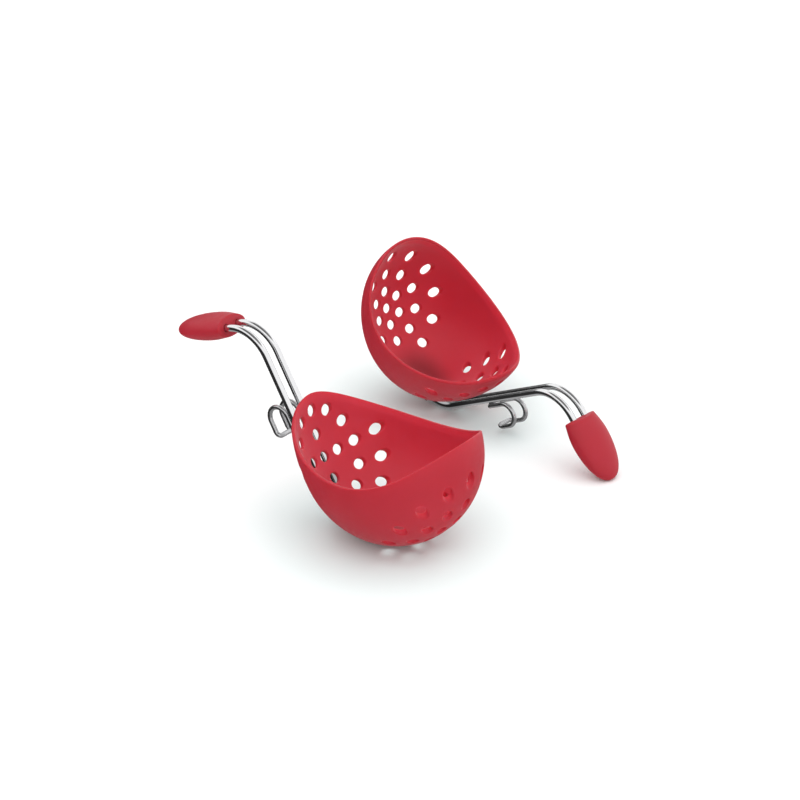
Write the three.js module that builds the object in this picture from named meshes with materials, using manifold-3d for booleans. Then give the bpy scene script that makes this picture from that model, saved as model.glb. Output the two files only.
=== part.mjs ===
// A pair of egg poachers: two silicone cups on bent wire handles, standing side by side.
// Units are millimetres. +Z is up, and the set stands on z = 0 with its box centred on the origin.
// Each poacher is drawn in a frame of its own: +X towards the handle, +Z along the handle's straight
// wires, and the origin in the middle of the cup.
import * as THREE from 'three';
import { mergeVertices } from 'three/addons/utils/BufferGeometryUtils.js';
import Module from 'manifold-3d';

const wasm = await Module();
wasm.setup();

// ---- driving dimensions ----
const CUP = {
  handleReach: 37.7, // half length towards the handle
  tipReach: 40.2, // half length towards the tip
  halfWidth: 33.2,
  depth: 38.3, // below the widest ring
  crown: 50.6, // height of the egg shape that the upper wall follows
  wall: 1.9,
  lean: 5.6, // degrees that the cup's axis leans towards the handle
};
// Height of the rim over the widest ring: a mean, then cosines of one to four times the angle.
const RIM = [6.6, 22.2, 7.1, -0.8, -0.7];
const MESH = { around: 32, along: 9 };

const DRAIN = { radius: 2.3, sides: 6, length: 30 };
// Rings of straight drain holes, all parallel inside one patch. The bottom patch stops at the saddle.
const BOTTOM_HOLES = { x: -7.4, limit: 15, pitch: 7.7, stretch: 1.06, counts: [1, 6, 10, 12] };
const SIDE_HOLES = { z: 9.1, pitch: 8.55, stretch: 1.13, counts: [1, 4, 12] };
// Three more on each flank of the side patch, on a ring three pitches out.
const FLANK_HOLES = { ring: 3, angles: [0, -22.5, -45] };

const WIRE = {
  radius: 1.5,
  pitch: 6.8, // between the two legs
  standOff: 39.7, // from the frame's Z axis to the legs
  straightFrom: -8,
  straightTo: 52.5,
  footRadius: 18, // the legs' bend under the cup
  footAngle: 58,
  neckRadius: 16.7, // the legs' bend towards the grip
  neckAngle: 76.5,
  sides: 8,
};
const GRIP = {
  length: 30,
  halfWidth: 9.8,
  halfThickness: 5.4,
  endWidth: 0.82, // of the half width, where the wires go in
  chamfer: 0.8,
  widest: 0.35, // of the length, from that end
  taper: 0.9, // the power that shapes the tip
  gap: 1.9, // from the end of the neck's bend
  buried: 19, // of the wire's legs
  around: 16,
  rise: 5, // mesh rows up to the widest place
  fall: 8, // mesh rows from there to the tip
};
const HOOK = {
  radius: 1.05,
  halfPitch: 3.6,
  legFrom: 17.7,
  legLength: 9.0,
  curlRadius: 5.15,
  curlAngle: 179.4,
  returnLength: 4.65,
  tuckRadius: 2.35,
  tuckAngle: 31,
  cornerRadius: 1.4, // at both ends of the bridge
  sides: 6,
};
// The moulded saddle under the cup that the legs plug into.
const SADDLE = {
  cover: 0.9, // of silicone over the wire
  from: 47,
  to: 80, // degrees round the foot's bend
  innerRadius: 12,
  halfWidth: 6.6,
  round: 0.8,
  trim: 9.6, // how far inside the cup the pad is cleared away
};
const GAP = 0.32; // clearance round steel that is moulded in or welded on
const BEND_STEP = 14; // degrees of a bend that one mesh step covers

// How each poacher lies, in degrees: the way its mouth faces, how far it leans back and how far it rolls.
const FRONT = { name: 'front', x: -4.1, y: -129.2, heading: 144.5, lean: 29.6, roll: -2.6 };
const REAR = { name: 'rear', x: 18.0, y: -5.4, heading: -50.2, lean: 64.4, roll: 5.3 };

const RED = 0xb81f2e;
const STEEL = 0xc9cbce;
const rad = THREE.MathUtils.degToRad;

// ---- joining and cutting ----
function solid(geometry) {
  const bare = geometry.clone();
  for (const name of Object.keys(bare.attributes)) {
    if (name !== 'position') bare.deleteAttribute(name);
  }
  const merged = mergeVertices(bare, 1e-4);
  return new wasm.Manifold(new wasm.Mesh({
    numProp: 3,
    vertProperties: new Float32Array(merged.attributes.position.array),
    triVerts: new Uint32Array(merged.index.array),
  }));
}

function toGeometry(manifold) {
  const mesh = manifold.getMesh();
  const geometry = new THREE.BufferGeometry();
  geometry.setAttribute('position', new THREE.BufferAttribute(mesh.vertProperties, 3));
  geometry.setIndex(new THREE.BufferAttribute(mesh.triVerts, 1));
  geometry.computeVertexNormals();
  return geometry;
}

// ---- bent wire ----
// A wire's centre line made of straight runs and round bends. Each run knows how many steps it is
// drawn with, so straight runs stay cheap and tight bends stay round.
class BentWire extends THREE.Curve {
  constructor(start, heading) {
    super();
    this.runs = [];
    this.end = start.clone();
    this.heading = heading.clone().normalize();
    this.steps = 0;
  }

  run(steps, at) {
    this.runs.push({ from: this.steps, steps, at });
    this.steps += steps;
    const last = at(1);
    this.end = last.point;
    this.heading = last.tangent;
    return this;
  }

  straight(length) {
    const start = this.end.clone();
    const way = this.heading.clone();
    return this.run(1, (t) => ({
      point: start.clone().addScaledVector(way, length * t),
      tangent: way.clone(),
    }));
  }

  // Turns by an angle in degrees round an axis that is square to the heading.
  bend(radius, angle, axis) {
    const start = this.end.clone();
    const way = this.heading.clone();
    const inward = axis.clone().cross(way);
    const centre = start.clone().addScaledVector(inward, radius);
    const arm = start.clone().sub(centre);
    const steps = Math.max(3, Math.round(angle / BEND_STEP));
    return this.run(steps, (t) => {
      const turn = rad(angle * t);
      return {
        point: centre.clone().add(arm.clone().applyAxisAngle(axis, turn)),
        tangent: way.clone().applyAxisAngle(axis, turn),
      };
    });
  }

  at(u) {
    const step = THREE.MathUtils.clamp(u, 0, 1) * this.steps;
    const run = this.runs.find((r) => step <= r.from + r.steps) ?? this.runs.at(-1);
    return run.at((step - run.from) / run.steps);
  }

  getPoint(u) { return this.at(u).point; }
  getPointAt(u) { return this.at(u).point; }
  getTangent(u) { return this.at(u).tangent; }
  getTangentAt(u) { return this.at(u).tangent; }
}

function rod(path, radius, sides) {
  const section = new THREE.Shape();
  for (let i = 0; i < sides; i += 1) {
    const a = (2 * Math.PI * (i + 0.5)) / sides;
    const x = radius * Math.cos(a);
    const y = radius * Math.sin(a);
    if (i === 0) section.moveTo(x, y);
    else section.lineTo(x, y);
  }
  section.closePath();
  return new THREE.ExtrudeGeometry(section, { steps: path.steps, bevelEnabled: false, extrudePath: path });
}

// The hairpin: up from one socket, over the neck, round inside the grip and back down.
function handlePath(extra) {
  const half = WIRE.pitch / 2;
  const foot = rad(WIRE.footAngle);
  const centreX = WIRE.standOff - WIRE.footRadius;
  const start = new THREE.Vector3(
    centreX + WIRE.footRadius * Math.cos(foot),
    half,
    WIRE.straightFrom - WIRE.footRadius * Math.sin(foot),
  );
  const heading = new THREE.Vector3(Math.sin(foot), 0, Math.cos(foot));
  start.addScaledVector(heading, -extra);
  const outward = new THREE.Vector3(0, 1, 0);
  const inward = new THREE.Vector3(0, -1, 0);
  const neck = rad(WIRE.neckAngle);
  const across = new THREE.Vector3(Math.cos(neck), 0, -Math.sin(neck));
  return new BentWire(start, heading)
    .straight(extra)
    .bend(WIRE.footRadius, WIRE.footAngle, inward)
    .straight(WIRE.straightTo - WIRE.straightFrom)
    .bend(WIRE.neckRadius, WIRE.neckAngle, outward)
    .straight(GRIP.gap + GRIP.buried)
    .bend(half, 180, across)
    .straight(GRIP.gap + GRIP.buried)
    .bend(WIRE.neckRadius, WIRE.neckAngle, inward)
    .straight(WIRE.straightTo - WIRE.straightFrom)
    .bend(WIRE.footRadius, WIRE.footAngle, outward)
    .straight(extra);
}

// The pan hook: up one leg, over, back down, across the bridge and back the same way.
function hookPath() {
  const x = WIRE.standOff + WIRE.radius + HOOK.radius + GAP;
  const start = new THREE.Vector3(x, HOOK.halfPitch, HOOK.legFrom);
  const outward = new THREE.Vector3(0, 1, 0);
  const inward = new THREE.Vector3(0, -1, 0);
  const turned = rad(HOOK.curlAngle + HOOK.tuckAngle);
  const across = new THREE.Vector3(Math.cos(turned), 0, -Math.sin(turned));
  const bridge = 2 * (HOOK.halfPitch - HOOK.cornerRadius);
  return new BentWire(start, new THREE.Vector3(0, 0, 1))
    .straight(HOOK.legLength)
    .bend(HOOK.curlRadius, HOOK.curlAngle, outward)
    .straight(HOOK.returnLength)
    .bend(HOOK.tuckRadius, HOOK.tuckAngle, outward)
    .bend(HOOK.cornerRadius, 90, across)
    .straight(bridge)
    .bend(HOOK.cornerRadius, 90, across)
    .bend(HOOK.tuckRadius, HOOK.tuckAngle, inward)
    .straight(HOOK.returnLength)
    .bend(HOOK.curlRadius, HOOK.curlAngle, inward)
    .straight(HOOK.legLength);
}

// ---- the cup ----
function rimHeight(angle) {
  return RIM.reduce((sum, size, n) => sum + size * Math.cos(n * angle), 0);
}

// A point of the egg shape, inset from the outside. t runs from 0 at the bottom to 1 at the rim.
function cupPoint(angle, t, inset) {
  const reach = (Math.cos(angle) > 0 ? CUP.handleReach : CUP.tipReach) - inset;
  const half = CUP.halfWidth - inset;
  const depth = CUP.depth - inset;
  const crown = CUP.crown - inset;
  const rim = rimHeight(angle);
  const top = rim < 0 ? Math.acos(-rim / depth) : Math.PI / 2 + Math.asin(rim / crown);
  const polar = t * top;
  const tall = polar < Math.PI / 2 ? depth : crown;
  return new THREE.Vector3(
    reach * Math.sin(polar) * Math.cos(angle),
    half * Math.sin(polar) * Math.sin(angle),
    -tall * Math.cos(polar),
  );
}

// A lathed loop bent into the egg shape: outside from the pole to the rim, then inside back down.
function shell(outerInset, innerInset) {
  const count = MESH.along;
  const steps = [...Array(count + 1).keys()];
  const loop = [...steps, ...steps.toReversed()].map((step) => new THREE.Vector2(step, 0));
  const geometry = new THREE.LatheGeometry(loop, MESH.around);
  const place = geometry.attributes.position;
  for (let i = 0; i < place.count; i += 1) {
    const row = i % loop.length;
    const angle = (2 * Math.PI * Math.floor(i / loop.length)) / MESH.around;
    const p = cupPoint(angle, loop[row].x / count, row <= count ? outerInset : innerInset);
    place.setXYZ(i, p.x, p.y, p.z);
  }
  return geometry;
}

// A point of a ring round a patch's middle.
function onRing(patch, ring, degrees) {
  const reach = ring * patch.pitch;
  return [reach * Math.cos(rad(degrees)), reach * Math.sin(rad(degrees))];
}

// Centres of the drain holes of one patch.
function ringPoints(patch) {
  return patch.counts.flatMap((count, ring) => (
    Array.from({ length: count }, (_, i) => onRing(patch, ring, (360 * i) / count))
  ));
}

function pin() {
  return new THREE.CylinderGeometry(DRAIN.radius, DRAIN.radius, DRAIN.length, DRAIN.sides);
}

function drainCutters() {
  const low = BOTTOM_HOLES;
  const down = ringPoints(low)
    .map(([u, v]) => [low.x - u * low.stretch, v / low.stretch])
    .filter(([x]) => x < low.limit)
    .map(([x, y]) => pin().rotateX(Math.PI / 2).translate(x, y, -CUP.depth));
  const { stretch, z } = SIDE_HOLES;
  const flanks = FLANK_HOLES.angles.flatMap((angle) => (
    [angle, 180 - angle].map((side) => onRing(SIDE_HOLES, FLANK_HOLES.ring, side))
  ));
  const out = [...ringPoints(SIDE_HOLES), ...flanks].map(([u, v]) => (
    pin().rotateZ(Math.PI / 2).translate(CUP.handleReach, u / stretch, z + v * stretch)
  ));
  return [...down, ...out];
}

// A pad under the handle side, rounded on its outside, that holds the two ends of the wire.
function saddle() {
  const centreX = WIRE.standOff - WIRE.footRadius;
  const outer = WIRE.footRadius + WIRE.radius + SADDLE.cover - SADDLE.round;
  const from = -rad(SADDLE.from);
  const to = -rad(SADDLE.to);
  const outline = new THREE.Shape();
  outline.absarc(centreX, WIRE.straightFrom, outer, from, to, true);
  outline.absarc(centreX, WIRE.straightFrom, SADDLE.innerRadius, to, from, false);
  outline.closePath();
  const geometry = new THREE.ExtrudeGeometry(outline, {
    depth: 2 * (SADDLE.halfWidth - SADDLE.round),
    curveSegments: 6,
    bevelThickness: SADDLE.round,
    bevelSize: SADDLE.round,
    bevelSegments: 2,
  });
  return geometry.translate(0, 0, SADDLE.round - SADDLE.halfWidth).rotateX(Math.PI / 2);
}

function cup() {
  const lean = rad(CUP.lean);
  const wall = solid(shell(0, CUP.wall).rotateY(lean));
  const holes = drainCutters().map((cutter) => solid(cutter.rotateY(lean)));
  const inside = solid(shell(CUP.wall / 2, SADDLE.trim).rotateY(lean));
  const sockets = solid(rod(handlePath(GAP), WIRE.radius + GAP, WIRE.sides));
  const drained = holes.reduce((body, hole) => body.subtract(hole), wall);
  return toGeometry(drained.add(solid(saddle()).subtract(inside)).subtract(sockets));
}

// ---- the grip ----
// A flat tongue: a lathed outline squeezed to an oval section, blunt where the wires go in.
function grip() {
  const { length, halfWidth, halfThickness, endWidth, chamfer, widest, taper, rise, fall } = GRIP;
  const outline = [new THREE.Vector2(0, 0), new THREE.Vector2(endWidth * halfWidth - chamfer, 0)];
  for (let i = 0; i <= rise; i += 1) {
    const t = i / rise;
    const width = endWidth + (1 - endWidth) * Math.sin((t * Math.PI) / 2);
    outline.push(new THREE.Vector2(width * halfWidth, chamfer + (widest * length - chamfer) * t));
  }
  for (let i = 1; i < fall; i += 1) {
    const t = (i / fall) * (Math.PI / 2);
    outline.push(new THREE.Vector2(
      Math.cos(t) ** taper * halfWidth,
      length * (widest + (1 - widest) * Math.sin(t)),
    ));
  }
  outline.push(new THREE.Vector2(0, length));
  const body = new THREE.LatheGeometry(outline, GRIP.around);
  body.scale(halfThickness / halfWidth, 1, 1).rotateX(Math.PI / 2);
  const neck = rad(WIRE.neckAngle);
  body.rotateY(neck);
  const reach = WIRE.neckRadius;
  body.translate(
    WIRE.standOff + reach * (1 - Math.cos(neck)) + GRIP.gap * Math.sin(neck),
    0,
    WIRE.straightTo + reach * Math.sin(neck) + GRIP.gap * Math.cos(neck),
  );
  const channel = solid(rod(handlePath(0), WIRE.radius + GAP, WIRE.sides));
  return toGeometry(solid(body).subtract(channel));
}

// ---- one poacher, and the pair ----
function piece(name, geometry, color, roughness, metalness) {
  const mesh = new THREE.Mesh(geometry, new THREE.MeshStandardMaterial({ color, roughness, metalness }));
  mesh.name = name;
  return mesh;
}

function poacher(place) {
  const roll = new THREE.Group();
  roll.rotation.z = rad(place.roll);
  roll.add(
    piece(`${place.name}_cup`, cup(), RED, 0.5, 0),
    piece(`${place.name}_handle_wire`, rod(handlePath(0), WIRE.radius, WIRE.sides), STEEL, 0.18, 1),
    piece(`${place.name}_pan_hook`, rod(hookPath(), HOOK.radius, HOOK.sides), STEEL, 0.25, 1),
    piece(`${place.name}_grip`, grip(), RED, 0.5, 0),
  );
  const lean = new THREE.Group();
  lean.rotation.y = rad(place.lean);
  lean.add(roll);
  const heading = new THREE.Group();
  heading.rotation.z = rad(place.heading);
  heading.add(lean);
  heading.position.set(place.x, place.y, 0);
  // Sets the poacher down on the table by its lowest point.
  heading.position.z = -new THREE.Box3().setFromObject(heading, true).min.z;
  return heading;
}

const pair = new THREE.Group();
pair.add(poacher(FRONT), poacher(REAR));
const middle = new THREE.Box3().setFromObject(pair, true).getCenter(new THREE.Vector3());
pair.position.set(-middle.x, -middle.y, 0);

export default pair;
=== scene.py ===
import math

import bmesh
import bpy
import numpy as np
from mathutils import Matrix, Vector, kdtree
from mathutils.geometry import delaunay_2d_cdt


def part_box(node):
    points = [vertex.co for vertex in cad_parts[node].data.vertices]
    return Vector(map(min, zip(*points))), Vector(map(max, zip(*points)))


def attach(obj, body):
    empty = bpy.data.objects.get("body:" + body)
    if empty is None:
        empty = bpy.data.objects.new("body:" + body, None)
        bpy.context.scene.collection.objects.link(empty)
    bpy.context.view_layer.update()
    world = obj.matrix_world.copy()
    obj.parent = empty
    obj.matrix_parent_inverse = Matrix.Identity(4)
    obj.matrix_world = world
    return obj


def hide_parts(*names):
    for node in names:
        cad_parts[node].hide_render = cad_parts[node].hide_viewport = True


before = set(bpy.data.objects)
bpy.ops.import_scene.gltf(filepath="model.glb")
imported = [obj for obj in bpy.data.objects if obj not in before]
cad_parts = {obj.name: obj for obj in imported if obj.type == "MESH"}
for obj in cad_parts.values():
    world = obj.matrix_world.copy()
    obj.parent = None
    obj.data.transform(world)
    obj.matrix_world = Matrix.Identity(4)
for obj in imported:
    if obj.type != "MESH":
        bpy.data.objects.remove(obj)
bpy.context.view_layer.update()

MM = 0.001

# ---- the poacher's dimensions, in millimetres and degrees ----
CUP = dict(handle=37.7, tip=40.2, half=33.2, depth=38.3, crown=50.6, wall=1.9, lip=1.3, lean=5.6)
RIM = (6.6, 22.2, 7.1, -0.8, -0.7)  # rim height: a mean, then cosines of one to four times the angle
HOLE = dict(radius=2.3, soft=0.4, sides=28)
BOTTOM_HOLES = dict(middle=-7.4, limit=15, pitch=7.7, stretch=1.06, counts=(1, 6, 10, 12))
SIDE_HOLES = dict(middle=9.1, pitch=8.55, stretch=1.13, counts=(1, 4, 12), flanks=(0, -22.5, -45))
LIP = dict(steps=256, soft=0.6, taper=0.1)
WIRE = dict(
    radius=1.5, pitch=6.8, off=39.7, low=-8, high=52.5, foot=18, foot_turn=58,
    neck=16.7, neck_turn=76.5,
)
GRIP = dict(
    length=30, half=9.8, thick=5.4, end=0.82, widest=0.35, gap=1.9, buried=19, corner=0.8,
    dome_thick=2.2, dome_half=0.3, dome_fade=9.0,
)
GRIP_HOLE = dict(slack=0.06, soft=0.3, turn_in=0.4, depth=3.0, sides=24)
HOOK = dict(
    radius=1.05, half=3.6, low=17.7, leg=9.0, curl=5.15, curl_turn=179.4, back=4.65,
    tuck=2.35, tuck_turn=31, corner=1.4,
)
PAD = dict(outer=20.4, half=6.3, start=47, end=80, soft=1.1)
WELD = dict(above=2.6, across=0.62, wide=1.02, long=2.1, heat_from=4.2, heat_full=1.2)
CLEAR = 0.32

# ---- the cup's mesh, in radians on the egg ----
SHEET_STEP = 0.030
EGG_RADIUS = 42.0  # a mean radius in millimetres, which turns a length on the egg into an angle
PAD_MESH = dict(near=0.62, far=1.32, half=0.34, step=0.0125)  # a finer mesh round the pad
PAD_SHADOW = dict(middle=0.84, along=0.56, across=0.52)  # where the wall is thicker over the pad; the colour there is painted darker as a painted shadow

# How each poacher lies: the way its mouth faces, how far it leans back and how far it rolls.
LAID = {"front": (144.5, 29.6, -2.6), "rear": (-50.2, 64.4, 5.3)}

# ---- the studio, in metres, degrees and watts ----
CAMERA = dict(lens=83.8, sensor=36.0, up=25.15, distance=0.870, target=(-0.00044, 0.06706, 0.0))
TINT = dict(near=0.030, far=0.085)  # how far from a cup the floor is painted cooler, to cancel the red light the cups bounce onto it
# Each lamp's place, what it points at, its size, its power and whether the steel mirrors it.
LAMPS = {
    "key": ((0.60, 0.45, 1.35), (0, 0.03, 0.03), (1.5, 1.5), 1.5, True),
    "front": ((0.15, -0.90, 1.30), (0, 0, 0.03), (1.4, 1.1), 3, False),
    "right": ((0.90, -0.75, 0.32), (0, 0, 0.04), (0.9, 0.5), 2.8, False),
    "left": ((-0.85, -0.70, 0.45), (0, 0, 0.03), (0.9, 0.6), 1.8, False),
}


# ---- small helpers ----
def turned(axis, degrees):
    """The matrix that turns by an angle round an axis."""
    x, y, z = np.asarray(axis, float) / np.linalg.norm(axis)
    cross = np.array([[0, -z, y], [z, 0, -x], [-y, x, 0]])
    a = math.radians(degrees)
    return np.eye(3) + math.sin(a) * cross + (1 - math.cos(a)) * cross @ cross


def smooth(value, low, high):
    """Rises smoothly from 0 at low to 1 at high, or the other way when low is above high."""
    t = np.clip((value - low) / (high - low), 0, 1)
    return t * t * (3 - 2 * t)


def soft_corner(start, corner, end, steps):
    """Points strictly between start and end on a round curve that bulges towards the corner."""
    weight = math.sqrt(0.5)
    made = []
    for s in np.linspace(0, 1, steps + 2)[1:-1]:
        a, b, c = (1 - s) ** 2, 2 * weight * s * (1 - s), s * s
        made.append((a * start + b * corner + c * end) / (a + b + c))
    return made


class Builder:
    """Gathers points and faces, with one number per point for each named attribute."""

    def __init__(self, *attributes):
        self.points, self.faces, self.count = [], [], 0
        self.values = {name: [] for name in attributes}

    def add(self, points, **values):
        points = np.asarray(points, float)
        first = self.count
        self.points.append(points)
        for name, kept in self.values.items():
            kept.append(np.broadcast_to(np.asarray(values.get(name, 0.0), float), len(points)))
        self.count += len(points)
        return np.arange(first, self.count)

    def strip(self, a, b, closed=True):
        """Quads between two rows of the same number of points."""
        last = len(a) if closed else len(a) - 1
        for i in range(last):
            j = (i + 1) % len(a)
            self.faces.append((int(a[i]), int(a[j]), int(b[j]), int(b[i])))

    def cap(self, ring):
        self.faces.append(tuple(int(i) for i in ring))

    def triangles(self, ids, faces):
        self.faces.extend(tuple(int(ids[i]) for i in face) for face in faces)

    def cloud(self):
        return np.concatenate(self.points)

    def mesh(self, name, matrix, shift, sharp=None):
        mesh = bpy.data.meshes.new(name)
        placed = self.cloud() @ matrix.T + shift
        mesh.from_pydata([tuple(p) for p in placed * MM], [], self.faces)
        bm = bmesh.new()
        bm.from_mesh(mesh)
        bmesh.ops.recalc_face_normals(bm, faces=bm.faces)
        bm.to_mesh(mesh)
        bm.free()
        mesh.polygons.foreach_set("use_smooth", [True] * len(mesh.polygons))
        if sharp:
            mesh.set_sharp_from_angle(angle=math.radians(sharp))
        for key, kept in self.values.items():
            layer = mesh.attributes.new(key, "FLOAT", "POINT")
            layer.data.foreach_set("value", np.concatenate(kept).astype(np.float32))
        return mesh


def inside(loop, points):
    """True for each point of the plane inside a closed loop."""
    x, y = points[:, 0], points[:, 1]
    hit = np.zeros(len(points), bool)
    for (x0, y0), (x1, y1) in zip(loop, np.roll(loop, -1, axis=0)):
        crosses = (y0 > y) != (y1 > y)
        if y1 != y0:
            hit ^= crosses & (x < (x1 - x0) * (y - y0) / (y1 - y0) + x0)
    return hit


def fill(outline, holes, step, extra=()):
    """Points and triangles of a plane region. The outline's points come first, then each hole's."""
    loops = [outline, *holes]
    low, high = outline.min(0), outline.max(0)
    rows = []
    for n, v in enumerate(np.arange(low[1], high[1], step * math.sqrt(0.75))):
        u = np.arange(low[0] + (n % 2) * step / 2, high[0], step)
        rows.append(np.stack([u, np.full(len(u), v)], 1))
    lattice = np.concatenate([*rows, *extra])
    keep = inside(outline, lattice)
    for hole in holes:
        keep &= ~inside(hole, lattice)
    lattice = lattice[keep]
    edge = np.concatenate(loops)
    tree = kdtree.KDTree(len(edge))
    for i, (u, v) in enumerate(edge):
        tree.insert((u, v, 0), i)
    tree.balance()
    near = np.array([tree.find((u, v, 0))[2] for u, v in lattice])
    lattice = lattice[near > 0.55 * step]
    points = np.concatenate([edge, lattice])
    borders, first = [], 0
    for loop in loops:
        n = len(loop)
        borders += [(first + i, first + (i + 1) % n) for i in range(n)]
        first += n
    made = delaunay_2d_cdt([Vector(p) for p in points], borders, [], 0, 1e-9)
    source = [ids[0] for ids in made[3]]
    faces = np.array([[source[i] for i in face] for face in made[2]])
    middle = points[faces].mean(1)
    keep = inside(outline, middle)
    for hole in holes:
        keep &= ~inside(hole, middle)
    return points, faces[keep]


# ---- the cup ----
# The egg shape is unrolled into a plane round the bottom: a point's distance from the plane's middle
# is its polar angle on the egg, and its direction is the angle round the cup.
def rim_height(around):
    return sum(size * np.cos(n * around) for n, size in enumerate(RIM))


def rim_polar(around, inset):
    height = rim_height(around)
    below = np.arccos(np.clip(-height / (CUP["depth"] - inset), -1, 1))
    above = math.pi / 2 + np.arcsin(np.clip(height / (CUP["crown"] - inset), -1, 1))
    return np.where(height < 0, below, above)


def on_egg(plane, inset):
    polar = np.hypot(plane[:, 0], plane[:, 1])
    around = np.arctan2(plane[:, 1], plane[:, 0])
    reach = np.where(np.cos(around) > 0, CUP["handle"], CUP["tip"]) - inset
    tall = np.where(polar < math.pi / 2, CUP["depth"], CUP["crown"]) - inset
    x = reach * np.sin(polar) * np.cos(around)
    y = (CUP["half"] - inset) * np.sin(polar) * np.sin(around)
    return np.stack([x, y, -tall * np.cos(polar)], 1)


def pins():
    """(centre, centre, kind) of every drain hole. A bottom pin is upright and a side pin lies along X."""
    def rings(patch):
        for ring, count in enumerate(patch["counts"]):
            for i in range(count):
                a = 2 * math.pi * i / count
                yield ring * patch["pitch"] * math.cos(a), ring * patch["pitch"] * math.sin(a)

    low, side = BOTTOM_HOLES, SIDE_HOLES
    made = [(low["middle"] - u * low["stretch"], v / low["stretch"], "bottom") for u, v in rings(low)]
    made = [pin for pin in made if pin[0] < low["limit"]]
    spots = list(rings(side))
    for angle in side["flanks"]:
        for a in (math.radians(angle), math.radians(180 - angle)):
            spots.append((3 * side["pitch"] * math.cos(a), 3 * side["pitch"] * math.sin(a)))
    made += [(u / side["stretch"], side["middle"] + v * side["stretch"], "side") for u, v in spots]
    return made


def pin_ring(pin, radius, inset):
    """The plane's loop where a pin of that radius meets the egg."""
    u, v, kind = pin
    turn = 2 * math.pi * np.arange(HOLE["sides"]) / HOLE["sides"]
    a, b = u + radius * np.cos(turn), v + radius * np.sin(turn)
    half = CUP["half"] - inset
    if kind == "bottom":
        x, y = a / (np.where(a > 0, CUP["handle"], CUP["tip"]) - inset), b / half
        z = -np.sqrt(1 - x * x - y * y)
    else:
        y, z = a / half, b / (np.where(b > 0, CUP["crown"], CUP["depth"]) - inset)
        x = np.sqrt(1 - y * y - z * z)
    polar, around = np.arccos(-z), np.arctan2(y, x)
    return np.stack([polar * np.cos(around), polar * np.sin(around)], 1)


def wall_inset(plane):
    """The inner surface's inset, thinner near the lip."""
    polar = np.hypot(plane[:, 0], plane[:, 1])
    top = rim_polar(np.arctan2(plane[:, 1], plane[:, 0]), CUP["wall"])
    return CUP["wall"] - (CUP["wall"] - CUP["lip"]) * smooth(polar, top - LIP["taper"], top)


def with_pad(points):
    """Raises the moulded pad that holds the wire's ends out of the cup's outside."""
    centre_x, centre_z = WIRE["off"] - WIRE["foot"], WIRE["low"]
    x, y, z = points[:, 0] - centre_x, points[:, 1], points[:, 2] - centre_z
    radius = np.hypot(x, z)
    station = np.degrees(np.arctan2(-z, x))
    soft = PAD["soft"]
    turn = math.degrees(soft / PAD["outer"])
    share = smooth(np.abs(y), PAD["half"] + soft, PAD["half"] - soft / 2)
    share = share * smooth(station, PAD["start"] - turn, PAD["start"] + turn)
    share = share * smooth(station, PAD["end"] + 2 * turn, PAD["end"] - turn)
    share = share * (x > 0)
    grown = radius + np.maximum(PAD["outer"] - radius, 0) * share
    return np.stack([centre_x + x * grown / radius, y, centre_z + z * grown / radius], 1)


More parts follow.
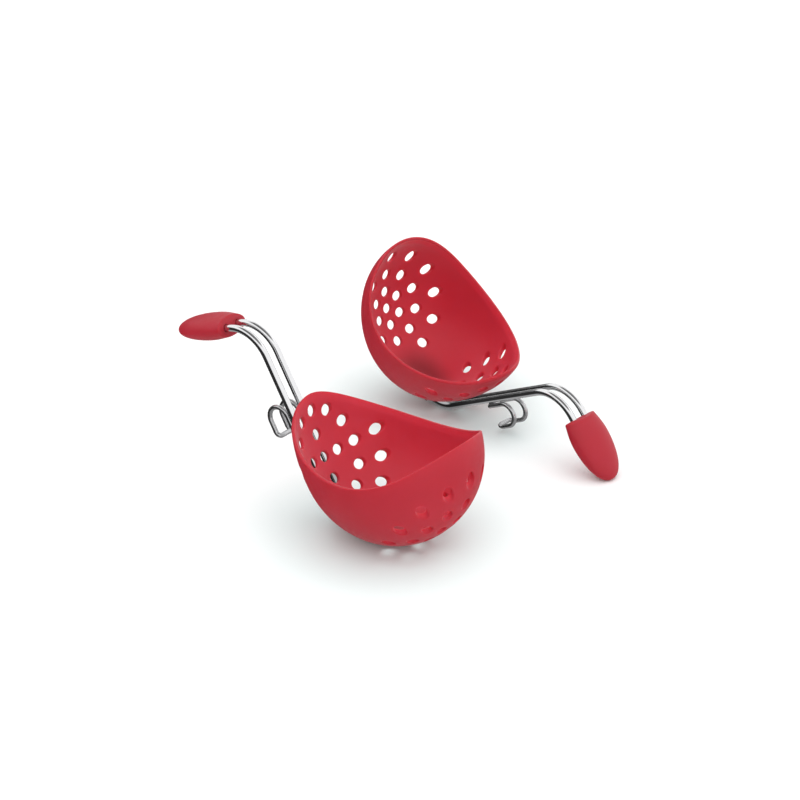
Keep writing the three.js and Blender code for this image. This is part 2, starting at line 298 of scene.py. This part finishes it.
def cup():
    made = Builder("edge", "thick", "inner")
    lean = turned((0, 1, 0), CUP["lean"])
    around = 2 * math.pi * np.arange(LIP["steps"]) / LIP["steps"]
    ray = np.stack([np.cos(around), np.sin(around)], 1)
    every = pins()
    wide, narrow = HOLE["radius"] + HOLE["soft"], HOLE["radius"]
    sheets = []
    for side, inset in (("out", 0.0), ("in", CUP["wall"])):
        top = rim_polar(around, inset)
        stop = LIP["soft"] / EGG_RADIUS
        outline = ray * (top - stop)[:, None]
        loops = [pin_ring(pin, wide, inset) for pin in every]
        extra = []
        if side == "out":
            u, v = np.meshgrid(
                np.arange(PAD_MESH["near"], PAD_MESH["far"], PAD_MESH["step"]),
                np.arange(-PAD_MESH["half"], PAD_MESH["half"], PAD_MESH["step"]),
            )
            extra.append(np.stack([u.ravel(), v.ravel()], 1))
        plane, faces = fill(outline, loops, SHEET_STEP, extra)
        depth = inset if side == "out" else wall_inset(plane)
        points = on_egg(plane, depth)
        edge = np.zeros(len(points))
        # edge marks the lip loop, which is painted darker through it (painted shade)
        edge[: LIP["steps"]] = 1
        points = points @ lean.T
        if side == "out":
            points = with_pad(points)
        # Painted shadow: a soft patch over the pad, stored as thick, darkens the colour on both sheets
        along = (plane[:, 0] - PAD_SHADOW["middle"]) / PAD_SHADOW["along"]
        pad_shadow = smooth(np.hypot(along, plane[:, 1] / PAD_SHADOW["across"]), 1.0, 0.25)
        # inner=1 paints the inner surface's colour lighter (painted light)
        ids = made.add(points, edge=edge, thick=pad_shadow, inner=float(side == "in"))
        made.triangles(ids, faces)
        corner = on_egg(ray * top[:, None], 0.0 if side == "out" else CUP["lip"]) @ lean.T
        sheets.append((ids, points, corner))
    # The lip runs over from the outer wall to the inner one with a soft corner on each side.
    (out_ids, out_points, out_corner), (in_ids, in_points, in_corner) = sheets
    n = LIP["steps"]
    across = in_corner - out_corner
    across /= np.linalg.norm(across, axis=1)[:, None]
    out_flat, in_flat = out_corner + across * LIP["soft"], in_corner - across * LIP["soft"]
    rows = [out_ids[:n]]
    # edge=1 on the lip's rows paints the lip darker (painted shade)
    rows += [made.add(row, edge=1) for row in soft_corner(out_points[:n], out_corner, out_flat, 4)]
    rows += [made.add(out_flat, edge=1), made.add(in_flat, edge=1)]
    rows += [made.add(row, edge=1) for row in soft_corner(in_flat, in_corner, in_points[:n], 4)]
    rows.append(in_ids[:n])
    for a, b in zip(rows, rows[1:]):
        made.strip(a, b)
    # Each drain hole is a straight tunnel with a soft edge at both ends.
    for k, pin in enumerate(every):
        first = n + k * HOLE["sides"]
        span = slice(first, first + HOLE["sides"])
        inward = lean @ (np.array([0, 0, 1.0]) if pin[2] == "bottom" else np.array([-1.0, 0, 0]))
        out_edge, in_edge = (on_egg(pin_ring(pin, narrow, i), i) @ lean.T for i in (0.0, CUP["wall"]))
        mouth, bottom = out_edge + inward * HOLE["soft"], in_edge - inward * HOLE["soft"]
        rows = [out_ids[span]]
        rows += [made.add(row) for row in soft_corner(out_points[span], out_edge, mouth, 3)]
        # inner=1 paints the tunnel's inner half lighter (painted light)
        rows += [made.add(mouth), made.add(bottom, inner=1)]
        rows += [made.add(row, inner=1) for row in soft_corner(bottom, in_edge, in_points[span], 3)]
        rows.append(in_ids[span])
        for a, b in zip(rows, rows[1:]):
            made.strip(a, b)
    return made


# ---- bent wire ----
class BentWire:
    """A wire's centre line, as points with their heading and a side vector that doesn't twist."""

    def __init__(self, start, heading, side=(0, 1, 0)):
        heading = np.asarray(heading, float) / np.linalg.norm(heading)
        self.frames = [(np.asarray(start, float), heading, np.asarray(side, float))]

    def straight(self, length, steps=1):
        point, heading, side = self.frames[-1]
        for i in range(1, steps + 1):
            self.frames.append((point + heading * length * i / steps, heading, side))
        return self

    def bend(self, radius, angle, axis, step=4):
        point, heading, side = self.frames[-1]
        centre = point + np.cross(axis, heading) * radius
        steps = max(4, round(angle / step))
        for i in range(1, steps + 1):
            turn = turned(axis, angle * i / steps)
            self.frames.append((centre + turn @ (point - centre), turn @ heading, turn @ side))
        return self


def handle_path():
    half = WIRE["pitch"] / 2
    foot, neck = math.radians(WIRE["foot_turn"]), math.radians(WIRE["neck_turn"])
    heading = np.array([math.sin(foot), 0, math.cos(foot)])
    x = WIRE["off"] - WIRE["foot"] + WIRE["foot"] * math.cos(foot)
    start = (x, half, WIRE["low"] - WIRE["foot"] * math.sin(foot))
    out, back = np.array([0, 1.0, 0]), np.array([0, -1.0, 0])
    across = np.array([math.cos(neck), 0, -math.sin(neck)])
    run, stub = WIRE["high"] - WIRE["low"], GRIP["gap"] + GRIP["buried"]
    path = BentWire(start, heading)
    path.bend(WIRE["foot"], WIRE["foot_turn"], back).straight(run, 12)
    path.bend(WIRE["neck"], WIRE["neck_turn"], out).straight(stub, 4)
    path.bend(half, 180, across, 10).straight(stub, 4)
    path.bend(WIRE["neck"], WIRE["neck_turn"], back).straight(run, 12)
    return path.bend(WIRE["foot"], WIRE["foot_turn"], out)


def hook_path():
    x = WIRE["off"] + WIRE["radius"] + HOOK["radius"] + CLEAR
    out, back = np.array([0, 1.0, 0]), np.array([0, -1.0, 0])
    a = math.radians(HOOK["curl_turn"] + HOOK["tuck_turn"])
    across = np.array([math.cos(a), 0, -math.sin(a)])
    path = BentWire((x, HOOK["half"], HOOK["low"]), (0, 0, 1)).straight(HOOK["leg"], 8)
    path.bend(HOOK["curl"], HOOK["curl_turn"], out, 6).straight(HOOK["back"], 2)
    path.bend(HOOK["tuck"], HOOK["tuck_turn"], out, 6).bend(HOOK["corner"], 90, across, 9)
    path.straight(2 * (HOOK["half"] - HOOK["corner"]), 2).bend(HOOK["corner"], 90, across, 9)
    path.bend(HOOK["tuck"], HOOK["tuck_turn"], back, 6).straight(HOOK["back"], 2)
    return path.bend(HOOK["curl"], HOOK["curl_turn"], back, 6).straight(HOOK["leg"], 8)


def rod(path, radius, sides, chamfer, tucked=0.0):
    """A round rod along a path, its ends cut square and lightly broken, and painted darker for a stretch
    from each end as painted shade.
    """
    made = Builder("heat", "tucked", "grain_x", "grain_y", "grain_z")
    frames = path.frames
    length = sum(np.linalg.norm(b[0] - a[0]) for a, b in zip(frames, frames[1:]))
    (p0, h0, s0), (p1, h1, s1) = frames[0], frames[-1]
    rows = [(p0, h0, s0, radius - chamfer), (p0 + h0 * chamfer, h0, s0, radius)]
    rows += [(p, h, s, radius) for p, h, s in frames[1:-1]]
    rows += [(p1 - h1 * chamfer, h1, s1, radius), (p1, h1, s1, radius - chamfer)]
    turn = 2 * math.pi * np.arange(sides) / sides
    welds = weld_spots()
    rings, run, before = [], 0.0, p0
    for point, heading, side, r in rows:
        run += np.linalg.norm(point - before)
        before = point
        up = np.cross(heading, side)
        ring = point + r * (np.cos(turn)[:, None] * side + np.sin(turn)[:, None] * up)
        near = np.min([np.linalg.norm(ring - spot, axis=1) for spot in welds], axis=0)
        to_end = min(run, length - run)
        rings.append(made.add(
            ring,
            heat=smooth(near, WELD["heat_from"], WELD["heat_full"]),
            # Painted shade near both ends, where the handle runs under the cup
            tucked=smooth(to_end, tucked, 0.6 * tucked) if tucked else 0.0,
            grain_x=radius * np.cos(turn),
            grain_y=radius * np.sin(turn),
            grain_z=run / 40,
        ))
    for a, b in zip(rings, rings[1:]):
        made.strip(a, b)
    made.cap(rings[0])
    made.cap(rings[-1])
    return made


# ---- the spot welds between hook and handle ----
def weld_spots():
    x = WIRE["off"] + WIRE["radius"] + CLEAR / 2
    y = (WIRE["pitch"] / 2 + HOOK["half"]) / 2
    z = HOOK["low"] + WELD["above"]
    return [np.array([x, y * side, z]) for side in (1, -1)]


def welds():
    """Two flattened beads, pinched where the wires squeeze them."""
    made = Builder("heat", "tucked", "grain_x", "grain_y", "grain_z")
    across, along = 20, 14
    turn = 2 * math.pi * np.arange(across) / across
    for spot in weld_spots():
        rings = []
        for i in range(1, along):
            t = math.pi * i / along
            swell = math.sin(t) ** 0.7 * (1 + 0.06 * np.sin(3 * turn + 5 * t))
            ring = np.stack([
                WELD["across"] * swell * np.cos(turn),
                WELD["wide"] * swell * np.sin(turn) * (0.82 + 0.18 * np.abs(np.cos(turn))),
                np.full(across, WELD["long"] * -math.cos(t)),
            ], 1)
            rings.append(made.add(spot + ring, heat=1, grain_x=ring[:, 0], grain_y=ring[:, 1]))
        for a, b in zip(rings, rings[1:]):
            made.strip(a, b)
        made.cap(rings[0])
        made.cap(rings[-1])
    return made


# ---- the grip ----
def grip_width(run):
    """The grip's half width at a distance from its blunt end, as a share of its widest."""
    rise = GRIP["widest"] * GRIP["length"]
    t = np.clip(run / rise, 0, 1)
    up = GRIP["end"] + (1 - GRIP["end"]) * np.sin(t * math.pi / 2)
    fall = np.clip((run - rise) / (GRIP["length"] - rise), 0, 1)
    return np.where(run < rise, up, np.cos(np.arcsin(fall)) ** 0.9)


def grip():
    """A tongue with a softly domed end, drawn along +Z from that end, round two snug wire holes."""
    made = Builder("edge")
    sides, corner = 72, GRIP["corner"]
    turn = 2 * math.pi * np.arange(sides) / sides
    oval = np.stack([GRIP["thick"] * np.cos(turn), GRIP["half"] * np.sin(turn)], 1)

    def dome(points):
        thick = GRIP["dome_thick"] * (points[:, 0] / GRIP["thick"]) ** 2
        return thick + GRIP["dome_half"] * (points[:, 1] / GRIP["half"]) ** 2

    full = grip_width(np.array([corner]))[0]
    face = oval * (full - corner / GRIP["half"])
    bow = dome(face)

    def section(run):
        share = grip_width(np.array([run]))[0]
        height = run + bow * smooth(run, GRIP["dome_fade"], corner)
        return np.concatenate([oval * share, height[:, None]], 1)

    bore = WIRE["radius"] + GRIP_HOLE["slack"]
    mouth = bore + GRIP_HOLE["soft"]
    count = GRIP_HOLE["sides"]
    round_ = 2 * math.pi * np.arange(count) / count
    ring = np.stack([np.cos(round_), np.sin(round_)], 1)
    loops = [ring * mouth + (0, side * WIRE["pitch"] / 2) for side in (1, -1)]
    plane, faces = fill(face, loops, 0.55)
    points = np.concatenate([plane, dome(plane)[:, None]], 1)
    ids = made.add(points)
    made.triangles(ids, faces)
    # Each wire hole turns in with a soft edge and ends in the dark.
    for k, side in enumerate((1, -1)):
        span = slice(sides + count * k, sides + count * (k + 1))
        middle = np.array([0, side * WIRE["pitch"] / 2])
        ray = (plane[span] - middle) / mouth
        edge = np.concatenate([ray * bore + middle, dome(ray * bore + middle)[:, None]], 1)
        inner = edge + (0, 0, GRIP_HOLE["turn_in"])
        rows = [ids[span]]
        # edge=0.3 paints the wire hole's mouth darker (painted shade)
        rows += [made.add(row, edge=0.3) for row in soft_corner(points[span], edge, inner, 3)]
        rows += [made.add(inner), made.add(inner + (0, 0, GRIP_HOLE["depth"]))]
        for a, b in zip(rows, rows[1:]):
            made.strip(a, b)
        made.cap(rows[-1])
    # The corner of the blunt end, then the tongue's body to its tip.
    start, base = points[:sides], section(corner)
    over = base.copy()
    over[:, 2] = start[:, 2]
    rows = [ids[:sides]]
    # edge=0.7 paints the blunt end's corner darker (painted shade)
    rows += [made.add(row, edge=0.7) for row in soft_corner(start, over, base, 5)]
    for t in np.linspace(0, 1, 56)[:-1]:
        rows.append(made.add(section(corner + (GRIP["length"] - corner) * (1 - (1 - t) ** 2.2))))
    for a, b in zip(rows, rows[1:]):
        made.strip(a, b)
    made.cap(rows[-1])
    # From the tongue's own axis to the end of the handle's neck.
    neck = math.radians(WIRE["neck_turn"])
    place = turned((0, 1, 0), WIRE["neck_turn"])
    x = WIRE["off"] + WIRE["neck"] * (1 - math.cos(neck)) + GRIP["gap"] * math.sin(neck)
    z = WIRE["high"] + WIRE["neck"] * math.sin(neck) + GRIP["gap"] * math.cos(neck)
    made.points = [p @ place.T + (x, 0, z) for p in made.points]
    return made


# ---- materials ----
class Nodes:
    """A short way to write the nodes of a material or of the world."""

    def __init__(self, owner, shader="Principled BSDF"):
        owner.use_nodes = True
        self.owner = owner
        self.tree = owner.node_tree
        self.shader = self.tree.nodes[shader]

    def node(self, kind, inputs=None, **settings):
        made = self.tree.nodes.new("ShaderNode" + kind)
        for key, value in settings.items():
            setattr(made, key, value)
        for key, value in (inputs or {}).items():
            self.put(made.inputs[key], value)
        return made

    def put(self, socket, value):
        if isinstance(value, bpy.types.NodeSocket):
            self.tree.links.new(value, socket)
        else:
            socket.default_value = value

    def set(self, **inputs):
        for key, value in inputs.items():
            self.put(self.shader.inputs[key.replace("_", " ")], value)

    def attribute(self, name):
        return self.node("Attribute", attribute_name=name, attribute_type="GEOMETRY").outputs["Fac"]

    def place(self):
        return self.node("TexCoord").outputs["Object"]

    def noise(self, vector, scale, detail=2.0, roughness=0.5):
        return self.node(
            "TexNoise", {"Vector": vector, "Scale": scale, "Detail": detail, "Roughness": roughness}
        ).outputs["Fac"]

    def span(self, value, low, high, start=0.0, end=1.0, kind="LINEAR"):
        """Maps value from low..high to start..end, clamped."""
        inputs = {"Value": value, "From Min": low, "From Max": high, "To Min": start, "To Max": end}
        return self.node("MapRange", inputs, interpolation_type=kind).outputs["Result"]

    def math(self, operation, a, b):
        return self.node("Math", {0: a, 1: b}, operation=operation).outputs[0]

    def mix(self, share, a, b):
        made = self.node("Mix", data_type="RGBA")
        self.put(made.inputs[0], share)
        self.put(made.inputs[6], a)
        self.put(made.inputs[7], b)
        return made.outputs[2]

    def bump(self, height, distance, strength=1.0, under=None):
        inputs = {"Height": height, "Distance": distance, "Strength": strength}
        if under is not None:
            inputs["Normal"] = under
        return self.node("Bump", inputs).outputs["Normal"]


def material(name):
    return Nodes(bpy.data.materials.new(name))


def silicone(name, shade):
    """Moulded red silicone: satin and faintly mottled, with painted light on the inner surface, painted
    shade along its edges and over the pad, and darkened overall by shade.
    """
    n = material(name)
    place = n.place()
    cloud = n.noise(place, 38, 3.0)
    mottle = n.noise(place, 420, 3.0, 0.6)
    grain = n.noise(place, 3800, 2.0, 0.6)
    body = n.mix(n.span(cloud, 0.3, 0.7), (0.395, 0.012, 0.026, 1), (0.435, 0.016, 0.033, 1))
    body = n.mix(n.span(mottle, 0.35, 0.75, 0.0, 0.15), body, (0.50, 0.028, 0.048, 1))
    # Painted shade: darker along the cup's lip, the grip's end corner and the grip's wire-hole mouths
    body = n.mix(n.math("MULTIPLY", n.attribute("edge"), 0.25), body, (0.33, 0.020, 0.035, 1))
    # Painted light: the inner surface and the inner half of each drain hole are painted lighter
    body = n.mix(n.math("MULTIPLY", n.attribute("inner"), 0.42), body, (0.72, 0.050, 0.090, 1))
    # Painted shadow: darker over the pad, where the wall is thicker
    body = n.mix(n.math("MULTIPLY", n.attribute("thick"), 0.80), body, (0.24, 0.010, 0.018, 1))
    # Painted shade: the whole colour is darkened by shade, which makes the grip a darker copy of the cup's
    # silicone
    body = n.mix(shade, body, (0.20, 0.010, 0.016, 1))
    rough = n.span(mottle, 0.3, 0.7, 0.42, 0.52)
    n.set(Base_Color=body, Roughness=rough, Subsurface_Weight=0.6, Subsurface_Scale=0.005)
    n.shader.inputs["Subsurface Radius"].default_value = (1.0, 0.25, 0.2)
    n.set(Specular_IOR_Level=0.35)
    soft = n.bump(mottle, 0.00006, 0.5)
    n.set(Normal=n.bump(grain, 0.00003, 0.6, soft))
    return n.owner


def steel(name, colour, rough, lines):
    """Drawn stainless wire: polished, with faint lines along it and dark round the welds; painted shade
    darkens it near the ends that run under the cup.
    """
    n = material(name)
    grain = {i: n.attribute(f"grain_{axis}") for i, axis in enumerate("xyz")}
    draw = n.noise(n.node("CombineXYZ", grain).outputs[0], 9.0, 3.0, 0.65)
    smear = n.noise(n.place(), 160, 2.0)
    heat = n.attribute("heat")
    tone = n.mix(n.span(draw, 0.3, 0.7), tuple(0.9 * c for c in colour) + (1,), colour + (1,))
    tone = n.mix(n.math("MULTIPLY", heat, 0.75), tone, (0.10, 0.085, 0.08, 1))
    # Painted shade: darker grey near the ends that run under the cup, in place of the cup's dark underside
    # mirrored there
    tone = n.mix(n.math("MULTIPLY", n.attribute("tucked"), 0.65), tone, (0.16, 0.16, 0.16, 1))
    base = n.span(smear, 0.3, 0.7, rough * 0.8, rough * 1.25)
    n.set(Base_Color=tone, Metallic=1.0, Roughness=n.math("ADD", base, n.math("MULTIPLY", heat, 0.22)))
    n.set(Normal=n.bump(draw, 0.00002, lines))
    return n.owner


def floor_material():
    """A pale sweep, painted slightly cooler close to the cups to cancel the red light they bounce onto it.
    """
    n = material("studio_floor")
    paper = n.mix(n.noise(n.place(), 2.0), (0.91, 0.92, 0.92, 1), (0.93, 0.94, 0.94, 1))
    for name in LAID:
        low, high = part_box(f"{name}_cup")
        spot = ((low[0] + high[0]) / 2, (low[1] + high[1]) / 2, 0)
        away = n.node("VectorMath", {0: n.place(), 1: spot}, operation="DISTANCE").outputs["Value"]
        # Painted correction of bounce light: the colour turns cooler near each cup
        share = n.span(away, TINT["far"], TINT["near"], kind="SMOOTHSTEP")
        paper = n.mix(share, paper, (0.80, 0.91, 0.90, 1))
    n.set(Base_Color=paper, Roughness=0.85, Specular_IOR_Level=0.1)
    return n.owner


# ---- the pieces ----
def build():
    looks = {
        "cup": silicone("cup_silicone", 0.0),
        # The grip's silicone is the cup's, darkened by painted shade
        "grip": silicone("grip_silicone", 0.18),
        "handle_wire": steel("polished_wire", (0.80, 0.80, 0.81), 0.12, 0.25),
        "pan_hook": steel("drawn_wire", (0.55, 0.55, 0.56), 0.26, 0.45),
    }
    parts = {
        "cup": (cup(), None),
        # The handle's feet run under the cup and get painted shade there
        "handle_wire": (rod(handle_path(), WIRE["radius"], 40, 0.2, tucked=2 * WIRE["foot"]), 50),
        "pan_hook": (rod(hook_path(), HOOK["radius"], 32, 0.12), 50),
        "grip": (grip(), None),
    }
    beads = welds()
    for name, (heading, lean, roll) in LAID.items():
        matrix = turned((0, 0, 1), heading) @ turned((0, 1, 0), lean) @ turned((0, 0, 1), roll)
        wire = parts["handle_wire"][0].cloud() @ matrix.T
        low, high = (np.array(corner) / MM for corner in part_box(f"{name}_handle_wire"))
        shift = (low + high) / 2 - (wire.min(0) + wire.max(0)) / 2
        made = {}
        for part, (shape, sharp) in parts.items():
            mesh = shape.mesh(f"{name}_{part}_fine", matrix, shift, sharp)
            mesh.materials.append(looks[part])
            made[part] = show(f"{name}_{part}_fine", mesh, f"{name}_poacher")
            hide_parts(f"{name}_{part}")
        made["cup"].visible_glossy = False
        mesh = beads.mesh(f"{name}_welds", matrix, shift)
        mesh.materials.append(looks["pan_hook"])
        show(f"{name}_welds", mesh, f"{name}_poacher")


def show(name, mesh, body):
    made = bpy.data.objects.new(name, mesh)
    bpy.context.scene.collection.objects.link(made)
    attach(made, body)
    return made


# ---- the studio ----
def area_light(name, place, target, size, power, mirrored):
    data = bpy.data.lights.new(name, "AREA")
    data.shape = "RECTANGLE"
    data.size, data.size_y = size
    data.energy = power
    lamp = bpy.data.objects.new(name, data)
    bpy.context.scene.collection.objects.link(lamp)
    lamp.visible_glossy = mirrored
    lamp.location = place
    lamp.rotation_euler = (Vector(target) - Vector(place)).to_track_quat("-Z", "Y").to_euler()


def surroundings():
    """A room with one look for matte surfaces, another for mirrors, and plain white for the camera."""
    world = bpy.data.worlds.new("studio")
    bpy.context.scene.world = world
    n = Nodes(world, "Background")
    x, y, z = n.node("SeparateXYZ", {0: n.node("TexCoord").outputs["Generated"]}).outputs
    soft = dict(kind="SMOOTHSTEP")
    # Mirrors see white, but dark low on the left, and grey overhead and underfoot.
    low_left = n.math("MULTIPLY", n.span(x, -0.02, -0.24, **soft), n.span(z, 0.38, 0.20, **soft))
    low_left = n.math("MULTIPLY", low_left, n.span(z, -0.78, -0.60, **soft))
    tone = n.mix(n.span(z, -0.05, -0.35, **soft), (1.15, 1.15, 1.15, 1), (0.42, 0.42, 0.42, 1))
    tone = n.mix(n.span(z, 0.74, 0.88, **soft), tone, (0.13, 0.13, 0.13, 1))
    tone = n.mix(low_left, tone, (0.03, 0.03, 0.03, 1))
    # Matte surfaces are lit by one even dome, brightest overhead.
    level = n.span(z, 0.0, 1.0, 0.06, 1.66)
    dome = n.node("CombineColor", {0: level, 1: level, 2: level}).outputs[0]
    ray = n.node("LightPath").outputs
    seen = n.mix(ray["Is Camera Ray"], dome, (1, 1, 1, 1))
    n.put(n.shader.inputs["Color"], n.mix(ray["Is Glossy Ray"], seen, tone))


def studio():
    bm = bmesh.new()
    bmesh.ops.create_grid(bm, x_segments=8, y_segments=8, size=6.0)
    mesh = bpy.data.meshes.new("floor")
    bm.to_mesh(mesh)
    bm.free()
    mesh.materials.append(floor_material())
    floor = bpy.data.objects.new("floor", mesh)
    bpy.context.scene.collection.objects.link(floor)
    floor.location.z = -0.0001
    floor.visible_glossy = False

    surroundings()
    for name, lamp in LAMPS.items():
        area_light(name, *lamp)


def camera():
    """A long lens, looking along +Y from 25 degrees above the table."""
    data = bpy.data.cameras.new("camera")
    data.lens = CAMERA["lens"]
    data.sensor_width = CAMERA["sensor"]
    eye = bpy.data.objects.new("camera", data)
    bpy.context.scene.collection.objects.link(eye)
    target = Vector(CAMERA["target"])
    up = math.radians(CAMERA["up"])
    eye.location = target + Vector((0, -math.cos(up), math.sin(up))) * CAMERA["distance"]
    eye.rotation_euler = (target - eye.location).to_track_quat("-Z", "Y").to_euler()
    data.clip_start, data.clip_end = 0.01, 50
    bpy.context.scene.camera = eye


camera()
build()
studio()
bpy.context.scene.view_settings.view_transform = "Standard"
